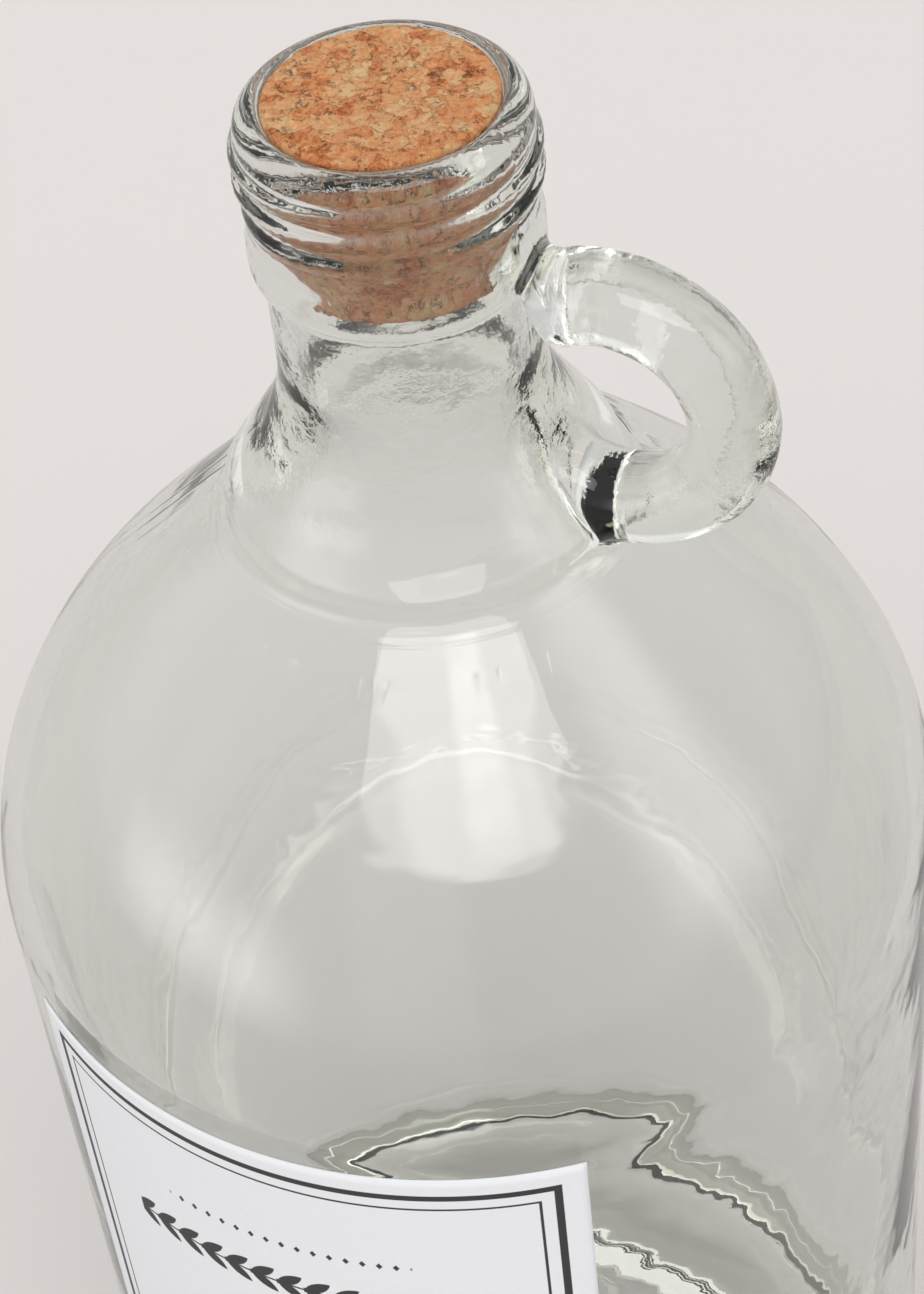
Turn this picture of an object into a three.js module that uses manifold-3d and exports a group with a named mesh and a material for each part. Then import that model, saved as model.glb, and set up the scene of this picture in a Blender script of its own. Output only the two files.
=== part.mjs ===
// Finger-loop glass jug for liquid detergent: a moulded glass bottle, a tapered
// agglomerated cork and a paper label on its front.
// Millimetres, +Z up. The bottle stands on z = 0 with its axis on Z. The finger loop
// is on +X and the label faces -Y.
import * as THREE from 'three';
import { mergeVertices } from 'three/addons/utils/BufferGeometryUtils.js';
import Module from 'manifold-3d';

const wasm = await Module();
wasm.setup();

// ---------- driving dimensions ----------
const HEIGHT = 312; // base to lip
const ROUND_SEGMENTS = 60; // facets around the bottle and the cork
const ARC_STEPS = 4; // straight steps in an arc
const SHORT_ARC_STEPS = 2; // straight steps in a small rounded edge
const WELD_DISTANCE = 1e-4; // corners closer than this become one

// body and base
const BODY_RADIUS = 68.45;
const BODY_WALL = 3.3;
const HEEL_RADIUS = 9; // round edge between the side and the base
const BEARING_INNER_RADIUS = 50; // flat ring that the bottle stands on
const PUSH_UP = 9; // height of the hollow under the base
const PUSH_UP_RADIUS = 36; // flat middle of that hollow
const FLOOR_THICKNESS = 5;
const INNER_HEEL_RADIUS = 13;

// shoulder: two tangent arcs, then a cone up to the collar
const SHOULDER_START = 188.2; // height where the straight side ends
const LOWER_ARC_RADIUS = 42.1;
const LOWER_ARC_ANGLE = THREE.MathUtils.degToRad(25.5);
const UPPER_ARC_RADIUS = 76.2;
const UPPER_ARC_ANGLE = THREE.MathUtils.degToRad(44);

// collar: the rounded skirt where the neck meets the shoulder
const COLLAR_RADIUS = 27.15;
const COLLAR_ROUND = 1.8;
const COLLAR_TOP_DEPTH = 57.2; // depths are measured down from the lip
const COLLAR_BOTTOM_DEPTH = 60;
const CREASE_RADIUS = 26.6;
const CREASE_DROP = 1; // tuck from the collar's edge down to the crease

// neck and its flare
const NECK_RADIUS = 17.15;
const NECK_WALL = 3;
const THROAT_RADIUS = 30; // inside, where the neck opens into the shoulder
const FLARE_START_DEPTH = 36.2;
const FLARE_RADIUS = 24;
const FLARE_ANGLE = THREE.MathUtils.degToRad(37);

// finish: lip, screw thread and transfer bead
const LIP_FLAT_RADIUS = 15.6; // outer edge of the flat top of the lip
const LIP_ROUND = 2.7;
const MOUTH_RADIUS = 14.7;
const MOUTH_ROUND = 0.6;
const MOUTH_STRAIGHT = 1.2; // parallel part of the bore just inside the lip
const FINISH_RADIUS = 18.3;
const BEAD_RADIUS = 18.75;
const BEAD_TOP_DEPTH = 16;
const BEAD_FULL_DEPTH = 18;
const BEAD_CURL_DEPTH = 21.2;
const BEAD_ROUND = 3;
const BEAD_CURL_ANGLE = THREE.MathUtils.degToRad(-58); // where the bead meets the neck
const THREAD_PITCH = 3.7;
const THREAD_TURNS = 2.6;
const THREAD_TOP_DEPTH = 3.3; // centre of the thread where it begins
const THREAD_START = THREE.MathUtils.degToRad(184);
const THREAD_SECTION_RADIUS = 1.15;
const THREAD_CENTRE_RADIUS = 18.1;
const THREAD_RUN_OUT = 0.08; // share of the thread that fades in at each end
const THREAD_SIDES = 8;
const THREAD_STEPS = 76;

// finger loop
const LOOP_CENTRE_X = 28;
const LOOP_CENTRE_DEPTH = 40;
const LOOP_RADIUS = 16;
const LOOP_ROD_RADIUS = 5.9;
const LOOP_TOP_ANGLE = THREE.MathUtils.degToRad(118);
const LOOP_BOTTOM_ANGLE = THREE.MathUtils.degToRad(-112);
const LOOP_ROOT_LENGTH = 7; // straight ends, buried in the neck and the collar
const LOOP_SIDES = 16;
const LOOP_STEPS = 26;

// cork
const CORK_LENGTH = 23.4;
const CORK_PROUD = 0.5; // how far it stands above the lip
const CORK_TOP_RADIUS = 14.4;
const CORK_BOTTOM_RADIUS = 13;
const CORK_CHAMFER = 0.5;

// label
const LABEL_TOP = 188;
const LABEL_HEIGHT = 120;
const LABEL_HALF_ANGLE = THREE.MathUtils.degToRad(37);
const LABEL_GAP = 0.3;
const LABEL_THICKNESS = 0.3;
const LABEL_FACING = -Math.PI / 2;
const LABEL_STEPS = 14;

// ---------- helpers ----------
function solidFrom(geometry) {
  const bare = geometry.index ? geometry.toNonIndexed() : geometry.clone();
  bare.deleteAttribute('normal');
  bare.deleteAttribute('uv');
  const merged = mergeVertices(bare, WELD_DISTANCE);
  return new wasm.Manifold(new wasm.Mesh({
    numProp: 3,
    vertProperties: new Float32Array(merged.attributes.position.array),
    triVerts: new Uint32Array(merged.index.array),
  }));
}

function geometryFrom(solid) {
  const mesh = solid.getMesh();
  const geometry = new THREE.BufferGeometry();
  geometry.setAttribute('position', new THREE.BufferAttribute(mesh.vertProperties, 3));
  geometry.setIndex(new THREE.BufferAttribute(mesh.triVerts, 1));
  geometry.computeVertexNormals();
  return geometry;
}

// A closed body of revolution about Z. The profile runs from the axis to the axis,
// anticlockwise, as (radius, height) points.
function turned(profile) {
  const geometry = new THREE.LatheGeometry(profile, ROUND_SEGMENTS);
  geometry.rotateX(Math.PI / 2);
  return geometry;
}

const heightAtDepth = (depth) => HEIGHT - depth;

// Points on an arc about (x, y), from one angle to another.
function arcPoints(x, y, radius, from, to, steps) {
  const points = [];
  for (let i = 0; i <= steps; i += 1) {
    const angle = THREE.MathUtils.lerp(from, to, i / steps);
    points.push(new THREE.Vector2(x + radius * Math.cos(angle), y + radius * Math.sin(angle)));
  }
  return points;
}

// ---------- glass bottle ----------
const point = (radius, height) => new THREE.Vector2(radius, height);

// The shoulder seen from inside or outside: inset is the wall taken off it.
function shoulderPoints(inset) {
  const lowerX = BODY_RADIUS - LOWER_ARC_RADIUS;
  const lower = arcPoints(lowerX, SHOULDER_START, LOWER_ARC_RADIUS - inset,
    0, LOWER_ARC_ANGLE, ARC_STEPS);
  const shift = LOWER_ARC_RADIUS - UPPER_ARC_RADIUS;
  const upperX = lowerX + shift * Math.cos(LOWER_ARC_ANGLE);
  const upperY = SHOULDER_START + shift * Math.sin(LOWER_ARC_ANGLE);
  const upper = arcPoints(upperX, upperY, UPPER_ARC_RADIUS - inset,
    LOWER_ARC_ANGLE, UPPER_ARC_ANGLE, ARC_STEPS);
  return [...lower, ...upper.slice(1)];
}

function outerProfile() {
  const bearingOuter = BODY_RADIUS - HEEL_RADIUS;
  const flareX = NECK_RADIUS + FLARE_RADIUS;
  const flareY = heightAtDepth(FLARE_START_DEPTH);
  const collarY = heightAtDepth(COLLAR_TOP_DEPTH) - COLLAR_ROUND;
  const lipY = HEIGHT - LIP_ROUND;
  return [
    point(0, PUSH_UP),
    point(PUSH_UP_RADIUS, PUSH_UP),
    point(BEARING_INNER_RADIUS, 0),
    ...arcPoints(bearingOuter, HEEL_RADIUS, HEEL_RADIUS, -Math.PI / 2, 0, ARC_STEPS),
    ...shoulderPoints(0),
    point(CREASE_RADIUS, heightAtDepth(COLLAR_BOTTOM_DEPTH + CREASE_DROP)),
    point(COLLAR_RADIUS, heightAtDepth(COLLAR_BOTTOM_DEPTH)),
    ...arcPoints(COLLAR_RADIUS - COLLAR_ROUND, collarY, COLLAR_ROUND,
      0, Math.PI / 2 - FLARE_ANGLE, SHORT_ARC_STEPS),
    ...arcPoints(flareX, flareY, FLARE_RADIUS, Math.PI + FLARE_ANGLE, Math.PI, ARC_STEPS),
    point(NECK_RADIUS, heightAtDepth(BEAD_CURL_DEPTH + BEAD_ROUND)),
    ...arcPoints(BEAD_RADIUS - BEAD_ROUND, heightAtDepth(BEAD_CURL_DEPTH), BEAD_ROUND,
      BEAD_CURL_ANGLE, 0, SHORT_ARC_STEPS),
    point(BEAD_RADIUS, heightAtDepth(BEAD_FULL_DEPTH)),
    point(FINISH_RADIUS, heightAtDepth(BEAD_TOP_DEPTH)),
    ...arcPoints(LIP_FLAT_RADIUS, lipY, LIP_ROUND, 0, Math.PI / 2, SHORT_ARC_STEPS),
    point(0, HEIGHT),
  ];
}

// The throat's arc is tangent to the bore and to the inside of the shoulder's cone, so the
// glass is thickest behind the collar.
function cavityProfile() {
  const wallX = BODY_RADIUS - BODY_WALL;
  const boreRadius = NECK_RADIUS - NECK_WALL;
  const floorY = PUSH_UP + FLOOR_THICKNESS;
  const lipInnerY = HEIGHT - MOUTH_ROUND;
  const shoulder = shoulderPoints(BODY_WALL);
  const across = point(Math.cos(UPPER_ARC_ANGLE), Math.sin(UPPER_ARC_ANGLE));
  const throatX = boreRadius + THROAT_RADIUS;
  const coneOffset = shoulder.at(-1).dot(across) + THROAT_RADIUS;
  const throatY = (coneOffset - throatX * across.x) / across.y;
  return [
    point(0, floorY),
    ...arcPoints(wallX - INNER_HEEL_RADIUS, floorY + INNER_HEEL_RADIUS, INNER_HEEL_RADIUS,
      -Math.PI / 2, 0, ARC_STEPS),
    ...shoulder,
    ...arcPoints(throatX, throatY, THROAT_RADIUS,
      Math.PI + UPPER_ARC_ANGLE, Math.PI, ARC_STEPS),
    point(boreRadius, heightAtDepth(BEAD_CURL_DEPTH)),
    point(MOUTH_RADIUS, lipInnerY - MOUTH_STRAIGHT),
    point(MOUTH_RADIUS, lipInnerY),
    point(MOUTH_RADIUS + MOUTH_ROUND, HEIGHT),
    point(MOUTH_RADIUS + MOUTH_ROUND, HEIGHT + MOUTH_ROUND),
    point(0, HEIGHT + MOUTH_ROUND),
  ];
}

// The centre line of the thread: it climbs anticlockwise, and sinks into the wall at its ends.
class ThreadCurve extends THREE.Curve {
  getPoint(t, target = new THREE.Vector3()) {
    const angle = THREAD_START + t * THREAD_TURNS * 2 * Math.PI;
    const fade = Math.min(1, t / THREAD_RUN_OUT, (1 - t) / THREAD_RUN_OUT);
    const radius = THREAD_CENTRE_RADIUS - THREAD_SECTION_RADIUS * (1 - fade);
    const climb = (t - 1) * THREAD_TURNS * THREAD_PITCH;
    return target.set(
      radius * Math.cos(angle),
      radius * Math.sin(angle),
      heightAtDepth(THREAD_TOP_DEPTH) + climb,
    );
  }
}

// The centre line of the finger loop: an arc with a straight root at each end.
class LoopCurve extends THREE.Curve {
  getPoint(t, target = new THREE.Vector3()) {
    const arcLength = LOOP_RADIUS * (LOOP_TOP_ANGLE - LOOP_BOTTOM_ANGLE);
    const along = t * (arcLength + 2 * LOOP_ROOT_LENGTH) - LOOP_ROOT_LENGTH;
    const onArc = THREE.MathUtils.clamp(along, 0, arcLength);
    const angle = LOOP_TOP_ANGLE - onArc / LOOP_RADIUS;
    const beyond = along - onArc;
    return target.set(
      LOOP_CENTRE_X + LOOP_RADIUS * Math.cos(angle) + beyond * Math.sin(angle),
      0,
      heightAtDepth(LOOP_CENTRE_DEPTH) + LOOP_RADIUS * Math.sin(angle) - beyond * Math.cos(angle),
    );
  }
}

function roundSection(radius, sides) {
  return new THREE.Shape(arcPoints(0, 0, radius, 0, 2 * Math.PI, sides).slice(0, -1));
}

function sweptRod(curve, radius, sides, steps) {
  return new THREE.ExtrudeGeometry(roundSection(radius, sides), {
    steps,
    extrudePath: curve,
    bevelEnabled: false,
  });
}

function glassBottleGeometry() {
  const outside = solidFrom(turned(outerProfile()));
  const cavity = solidFrom(turned(cavityProfile()));
  const thread = solidFrom(sweptRod(new ThreadCurve(), THREAD_SECTION_RADIUS,
    THREAD_SIDES, THREAD_STEPS));
  const loop = solidFrom(sweptRod(new LoopCurve(), LOOP_ROD_RADIUS, LOOP_SIDES, LOOP_STEPS));
  return geometryFrom(outside.add(thread).add(loop).subtract(cavity));
}

// ---------- cork ----------
function corkGeometry() {
  const top = HEIGHT + CORK_PROUD;
  const bottom = top - CORK_LENGTH;
  return turned([
    point(0, bottom),
    point(CORK_BOTTOM_RADIUS - CORK_CHAMFER, bottom),
    point(CORK_BOTTOM_RADIUS, bottom + CORK_CHAMFER),
    point(CORK_TOP_RADIUS, top - CORK_CHAMFER),
    point(CORK_TOP_RADIUS - CORK_CHAMFER, top),
    point(0, top),
  ]);
}

// ---------- label ----------
function labelGeometry() {
  const inner = BODY_RADIUS + LABEL_GAP;
  const from = LABEL_FACING - LABEL_HALF_ANGLE;
  const to = LABEL_FACING + LABEL_HALF_ANGLE;
  const outline = new THREE.Shape([
    ...arcPoints(0, 0, inner + LABEL_THICKNESS, from, to, LABEL_STEPS),
    ...arcPoints(0, 0, inner, to, from, LABEL_STEPS),
  ]);
  const geometry = new THREE.ExtrudeGeometry(outline, {
    depth: LABEL_HEIGHT,
    bevelEnabled: false,
  });
  geometry.translate(0, 0, LABEL_TOP - LABEL_HEIGHT);
  return geometry;
}

// ---------- assembly ----------
function part(name, geometry, look) {
  const mesh = new THREE.Mesh(geometry, new THREE.MeshStandardMaterial(look));
  mesh.name = name;
  return mesh;
}

const jug = new THREE.Group();
jug.add(
  part('glass_bottle', glassBottleGeometry(), {
    color: 0xdfe3dc,
    roughness: 0.05,
    metalness: 0,
    transparent: true,
    opacity: 0.35,
  }),
  part('cork_stopper', corkGeometry(), { color: 0xc98f5e, roughness: 0.85, metalness: 0 }),
  part('front_label', labelGeometry(), { color: 0xe8e9eb, roughness: 0.55, metalness: 0 }),
);

export default jug;
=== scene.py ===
"""The looks of the finger-loop glass jug: clear moulded glass, an agglomerated cork and a
printed paper label, in a plain pale studio. Shapes are worked out in millimetres in the
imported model's frame, and meshes are made in metres."""
import math

import bmesh
import bpy
import numpy as np
import openvdb
from mathutils import Matrix, Vector, noise


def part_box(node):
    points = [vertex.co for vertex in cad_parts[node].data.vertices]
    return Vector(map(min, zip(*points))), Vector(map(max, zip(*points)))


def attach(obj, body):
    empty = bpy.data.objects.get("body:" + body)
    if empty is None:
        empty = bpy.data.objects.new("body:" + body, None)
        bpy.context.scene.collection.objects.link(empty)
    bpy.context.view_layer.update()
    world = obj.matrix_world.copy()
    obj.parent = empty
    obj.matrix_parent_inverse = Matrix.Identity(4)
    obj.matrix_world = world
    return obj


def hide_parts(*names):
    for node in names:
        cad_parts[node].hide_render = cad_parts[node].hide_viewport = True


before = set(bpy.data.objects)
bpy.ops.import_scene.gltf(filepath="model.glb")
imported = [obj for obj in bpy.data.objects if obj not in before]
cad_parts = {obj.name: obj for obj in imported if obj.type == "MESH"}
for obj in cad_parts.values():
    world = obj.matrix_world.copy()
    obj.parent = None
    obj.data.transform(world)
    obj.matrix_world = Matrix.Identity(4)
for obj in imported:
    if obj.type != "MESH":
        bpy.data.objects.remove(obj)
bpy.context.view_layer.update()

# ---------- dimensions (mm) ----------
# They are the CAD model's, but where a comment says otherwise.
MM = 0.001
_, bottle_high = (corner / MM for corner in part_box("glass_bottle"))
cork_low, cork_high = (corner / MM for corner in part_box("cork_stopper"))
label_low, label_high = (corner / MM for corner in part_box("front_label"))

HEIGHT = bottle_high.z
BODY_RADIUS = bottle_high.y
BODY_WALL = 3.3
HEEL_RADIUS = 9
BEARING_INNER_RADIUS = 50
PUSH_UP = 9
PUSH_UP_FLAT = 30  # less than the CAD's flat middle, as the hollow curves down from there
FLOOR_THICKNESS = 5
INNER_HEEL_RADIUS = 13

SHOULDER_START = HEIGHT - 123.8
LOWER_ARC_RADIUS = 42.1
LOWER_ARC_ANGLE = math.radians(25.5)
UPPER_ARC_RADIUS = 76.2
UPPER_ARC_ANGLE = math.radians(44)

COLLAR_RADIUS = 27.15
COLLAR_ROUND = 1.8
COLLAR_TOP_DEPTH = 57.2
COLLAR_BOTTOM_DEPTH = 60
CREASE_RADIUS = 26.6
CREASE_DROP = 1

NECK_RADIUS = 17.15
NECK_WALL = 3
THROAT_RADIUS = 30
FLARE_START_DEPTH = 36.2
FLARE_RADIUS = 24
FLARE_ANGLE = math.radians(37)

LIP_FLAT_RADIUS = 15.6
LIP_ROUND = 2.7
MOUTH_RADIUS = 14.7
MOUTH_ROUND = 0.6
MOUTH_STRAIGHT = 1.2
FINISH_RADIUS = 18.3
BEAD_RADIUS = 18.75
BEAD_TOP_DEPTH = 16
BEAD_FULL_DEPTH = 18
BEAD_CURL_DEPTH = 21.2
BEAD_ROUND = 3
BEAD_CURL_ANGLE = math.radians(-58)

THREAD_PITCH = 3.7
THREAD_TURNS = 2.6
THREAD_TOP_DEPTH = 3.3
THREAD_START = math.radians(184)
THREAD_SECTION_RADIUS = 1.15
THREAD_CENTRE_RADIUS = 18.1
THREAD_RUN_OUT = 0.08
THREAD_FILLET = 0.7  # not in the CAD

LOOP_CENTRE_X = 28
LOOP_CENTRE_Z = HEIGHT - 40
LOOP_RADIUS = 16
LOOP_ROD_RADIUS = 5.9
LOOP_ROOT_RADIUS = 6.15  # not in the CAD: the rod thickens towards the neck and the collar
LOOP_TOP_ANGLE = math.radians(118)
LOOP_BOTTOM_ANGLE = math.radians(-112)
LOOP_ROOT_LENGTH = 7
LOOP_FILLET = 2.4  # not in the CAD

LABEL_HALF_ANGLE = math.radians(37)
LABEL_GAP = 0.12  # closer to the glass than the CAD's label
LABEL_THICKNESS = 0.16  # thinner than the CAD's label

# ---------- mesh sizes ----------
VOXEL = 0.58  # spacing of the distance field that the neck and the loop are meshed from
SPLIT_HEIGHT = HEIGHT - 67  # turned below this, and meshed from the field above it
OUTLINE_STEP = 0.1  # of the outline that tells inside from outside
BODY_STEP = 3.5  # longest side of a face up the outside of the body
CAVITY_STEP = 2.5
CORK_STEP = 0.4
OUTER_SEGMENTS = 192
INNER_SEGMENTS = 160


# ---------- profiles of lines and arcs ----------
class Line:
    """A straight stretch of a profile in the (radius, height) plane."""

    def __init__(self, start, end):
        self.start, self.end = start, end
        self.length = math.dist(start, end)

    def at(self, t):
        return (self.start[0] + t * (self.end[0] - self.start[0]),
                self.start[1] + t * (self.end[1] - self.start[1]))

    def distance(self, r, z):
        across, up = self.end[0] - self.start[0], self.end[1] - self.start[1]
        t = ((r - self.start[0]) * across + (z - self.start[1]) * up) / self.length ** 2
        t = np.clip(t, 0, 1)
        return np.hypot(r - self.start[0] - t * across, z - self.start[1] - t * up)


class Arc:
    """A round stretch of a profile, from one angle to another about a centre."""

    def __init__(self, centre, radius, start, end):
        self.centre, self.radius = centre, radius
        self.first, self.last = start, end
        self.length = radius * abs(end - start)
        self.start, self.end = self.at(0), self.at(1)

    def at(self, t):
        angle = self.first + t * (self.last - self.first)
        return (self.centre[0] + self.radius * math.cos(angle),
                self.centre[1] + self.radius * math.sin(angle))

    def distance(self, r, z):
        middle, half = (self.first + self.last) / 2, abs(self.last - self.first) / 2
        angle = np.arctan2(z - self.centre[1], r - self.centre[0])
        away = np.abs((angle - middle + math.pi) % (2 * math.pi) - math.pi)
        to_ring = np.abs(np.hypot(r - self.centre[0], z - self.centre[1]) - self.radius)
        to_ends = np.minimum(np.hypot(r - self.start[0], z - self.start[1]),
                             np.hypot(r - self.end[0], z - self.end[1]))
        return np.where(away <= half, to_ring, to_ends)


def joined(stretches):
    """The stretches in order, with a straight line across each gap between them."""
    chain = [stretches[0]]
    for stretch in stretches[1:]:
        if math.dist(chain[-1].end, stretch.start) > 1e-6:
            chain.append(Line(chain[-1].end, stretch.start))
        chain.append(stretch)
    return chain


def sampled(chain, step):
    """Points along a chain, at most a step apart, with each stretch's ends among them."""
    points = [chain[0].start]
    for stretch in chain:
        count = max(1, math.ceil(stretch.length / step))
        points += [stretch.at(i / count) for i in range(1, count + 1)]
    return np.array(points)


def shoulder(inset):
    """The two arcs of the shoulder, going up. inset is the wall taken off them."""
    lower_x = BODY_RADIUS - LOWER_ARC_RADIUS
    shift = LOWER_ARC_RADIUS - UPPER_ARC_RADIUS
    upper = (lower_x + shift * math.cos(LOWER_ARC_ANGLE),
             SHOULDER_START + shift * math.sin(LOWER_ARC_ANGLE))
    return [
        Arc((lower_x, SHOULDER_START), LOWER_ARC_RADIUS - inset, 0, LOWER_ARC_ANGLE),
        Arc(upper, UPPER_ARC_RADIUS - inset, LOWER_ARC_ANGLE, UPPER_ARC_ANGLE),
    ]


def crease_point():
    return CREASE_RADIUS, HEIGHT - COLLAR_BOTTOM_DEPTH - CREASE_DROP


def split_point():
    """Where the outside of the shoulder's cone crosses the split height."""
    start = shoulder(0)[-1].end
    end = crease_point()
    t = (SPLIT_HEIGHT - start[1]) / (end[1] - start[1])
    return start[0] + t * (end[0] - start[0]), SPLIT_HEIGHT


def base_and_body():
    """The outside from the middle of the base up to the split."""
    bearing_outer = BODY_RADIUS - HEEL_RADIUS
    across = BEARING_INNER_RADIUS - PUSH_UP_FLAT
    fall = 2 * math.atan2(PUSH_UP, across)
    curve = across / math.sin(fall)
    return joined([
        Line((0, PUSH_UP), (PUSH_UP_FLAT, PUSH_UP)),
        Arc((PUSH_UP_FLAT, PUSH_UP - curve), curve, math.pi / 2, math.pi / 2 - fall),
        Arc((bearing_outer, HEEL_RADIUS), HEEL_RADIUS, -math.pi / 2, 0),
        *shoulder(0),
        Line(shoulder(0)[-1].end, split_point()),
    ])


def neck_and_finish():
    """The outside from the shoulder's cone up to the middle of the mouth, which is filled."""
    flare = (NECK_RADIUS + FLARE_RADIUS, HEIGHT - FLARE_START_DEPTH)
    collar = (COLLAR_RADIUS - COLLAR_ROUND, HEIGHT - COLLAR_TOP_DEPTH - COLLAR_ROUND)
    curl = (BEAD_RADIUS - BEAD_ROUND, HEIGHT - BEAD_CURL_DEPTH)
    return joined([
        Line(shoulder(0)[-1].end, crease_point()),
        Line((COLLAR_RADIUS, HEIGHT - COLLAR_BOTTOM_DEPTH), (COLLAR_RADIUS, collar[1])),
        Arc(collar, COLLAR_ROUND, 0, math.pi / 2 - FLARE_ANGLE),
        Arc(flare, FLARE_RADIUS, math.pi + FLARE_ANGLE, math.pi),
        Line((NECK_RADIUS, flare[1]), (NECK_RADIUS, curl[1] - BEAD_ROUND)),
        Arc(curl, BEAD_ROUND, BEAD_CURL_ANGLE, 0),
        Line((BEAD_RADIUS, curl[1]), (BEAD_RADIUS, HEIGHT - BEAD_FULL_DEPTH)),
        Line((FINISH_RADIUS, HEIGHT - BEAD_TOP_DEPTH), (FINISH_RADIUS, HEIGHT - LIP_ROUND)),
        Arc((LIP_FLAT_RADIUS, HEIGHT - LIP_ROUND), LIP_ROUND, 0, math.pi / 2),
        Line((LIP_FLAT_RADIUS, HEIGHT), (0, HEIGHT)),
    ])


def cavity():
    """The inside, from the rounded edge of the mouth down to the middle of the floor."""
    wall = BODY_RADIUS - BODY_WALL
    bore = NECK_RADIUS - NECK_WALL
    floor = PUSH_UP + FLOOR_THICKNESS
    lower, upper = shoulder(BODY_WALL)
    throat_x = bore + THROAT_RADIUS
    across, up = math.cos(UPPER_ARC_ANGLE), math.sin(UPPER_ARC_ANGLE)
    cone = upper.end[0] * across + upper.end[1] * up + THROAT_RADIUS
    throat_z = (cone - throat_x * across) / up
    mouth = (MOUTH_RADIUS + MOUTH_ROUND, HEIGHT - MOUTH_ROUND)
    return joined([
        Arc(mouth, MOUTH_ROUND, math.pi / 2, math.pi),
        Line((MOUTH_RADIUS, mouth[1] - MOUTH_STRAIGHT), (bore, HEIGHT - BEAD_CURL_DEPTH)),
        Arc((throat_x, throat_z), THROAT_RADIUS, math.pi, math.pi + UPPER_ARC_ANGLE),
        Arc(upper.centre, upper.radius, UPPER_ARC_ANGLE, LOWER_ARC_ANGLE),
        Arc(lower.centre, lower.radius, LOWER_ARC_ANGLE, 0),
        Arc((wall - INNER_HEEL_RADIUS, floor + INNER_HEEL_RADIUS), INNER_HEEL_RADIUS,
            0, -math.pi / 2),
        Line((wall - INNER_HEEL_RADIUS, floor), (0, floor)),
    ])


# ---------- distance field of the neck, the finish and the loop ----------
def smooth_union(a, b, fillet):
    """The nearer of two surfaces, with a fillet where they meet."""
    h = np.maximum(fillet - np.abs(a - b), 0) / fillet
    return np.minimum(a, b) - h * h * fillet / 4


def thread_distance(x, y, z, r):
    """Distance to the helical ridge, which sinks into the wall at its ends."""
    sweep = THREAD_TURNS * 2 * math.pi
    climb = THREAD_PITCH / (2 * math.pi)
    bottom = HEIGHT - THREAD_TOP_DEPTH - THREAD_TURNS * THREAD_PITCH
    azimuth = (np.arctan2(y, x) - THREAD_START) % (2 * math.pi)
    turn = np.round(((z - bottom) / climb - azimuth) / (2 * math.pi))
    along = np.clip(azimuth + turn * 2 * math.pi, 0, sweep)
    t = along / sweep
    fade = np.clip(np.minimum(t, 1 - t) / THREAD_RUN_OUT, 0, 1)
    centre = THREAD_CENTRE_RADIUS - THREAD_SECTION_RADIUS * (1 - fade)
    return np.hypot(r - centre, z - bottom - climb * along) - THREAD_SECTION_RADIUS


def loop_distance(x, y, z):
    """Distance to the finger loop: a bent rod with a straight root at each end."""
    dx, dz = x - LOOP_CENTRE_X, z - LOOP_CENTRE_Z
    middle = (LOOP_TOP_ANGLE + LOOP_BOTTOM_ANGLE) / 2
    half = (LOOP_TOP_ANGLE - LOOP_BOTTOM_ANGLE) / 2
    away = (np.arctan2(dz, dx) - middle + math.pi) % (2 * math.pi) - math.pi
    on_arc = np.abs(away) <= half
    in_plane = np.abs(np.hypot(dx, dz) - LOOP_RADIUS)
    for angle, side in ((LOOP_TOP_ANGLE, 1), (LOOP_BOTTOM_ANGLE, -1)):
        end = (LOOP_RADIUS * math.cos(angle), LOOP_RADIUS * math.sin(angle))
        tip = (end[0] - side * LOOP_ROOT_LENGTH * math.sin(angle),
               end[1] + side * LOOP_ROOT_LENGTH * math.cos(angle))
        root = Line(end, tip).distance(dx, dz)
        in_plane = np.where(on_arc, in_plane, np.minimum(in_plane + 1e3 * ~on_arc, root))
    near_root = np.clip((np.abs(away) / half - 0.55) / 0.45, 0, 1)
    rod = LOOP_ROD_RADIUS + (LOOP_ROOT_RADIUS - LOOP_ROD_RADIUS) * near_root
    return np.hypot(in_plane, y) - rod


def outside_distance():
    """A function of x, y and z: the signed distance to the outside above the split."""
    chain = neck_and_finish()
    outline = sampled(chain, OUTLINE_STEP)
    heights, radii = outline[:, 1], outline[:, 0]
    rising = np.concatenate([[True], np.diff(heights) > 1e-9])
    heights, radii = heights[rising], radii[rising]

    def distance(x, y, z):
        r = np.hypot(x, y)
        nearest = np.minimum.reduce([stretch.distance(r, z) for stretch in chain])
        inside = (r < np.interp(z, heights, radii)) & (z < HEIGHT)
        turned = np.where(inside, -nearest, nearest)
        with_thread = smooth_union(turned, thread_distance(x, y, z, r), THREAD_FILLET)
        return smooth_union(with_thread, loop_distance(x, y, z), LOOP_FILLET)

    return distance


def field_mesh(distance):
    """Vertices and faces of the outside above the split, as even quads."""
    margin = 4
    reach = LOOP_CENTRE_X + LOOP_RADIUS + LOOP_ROOT_RADIUS + margin
    side = split_point()[0] + margin
    xs = np.arange(-side, reach, VOXEL)
    ys = np.arange(-side, side, VOXEL)
    zs = np.arange(SPLIT_HEIGHT - margin, HEIGHT + margin, VOXEL)
    x, y, z = np.meshgrid(xs, ys, zs, indexing="ij")
    grid = openvdb.FloatGrid(margin)
    grid.copyFromArray(distance(x, y, z).astype(np.float32))
    vertices, quads = grid.convertToQuads(0.0)
    vertices = vertices.astype(float) * VOXEL + (xs[0], ys[0], zs[0])
    for _ in range(3):
        vertices -= onto_surface(distance, vertices)
    return vertices, quads


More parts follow.
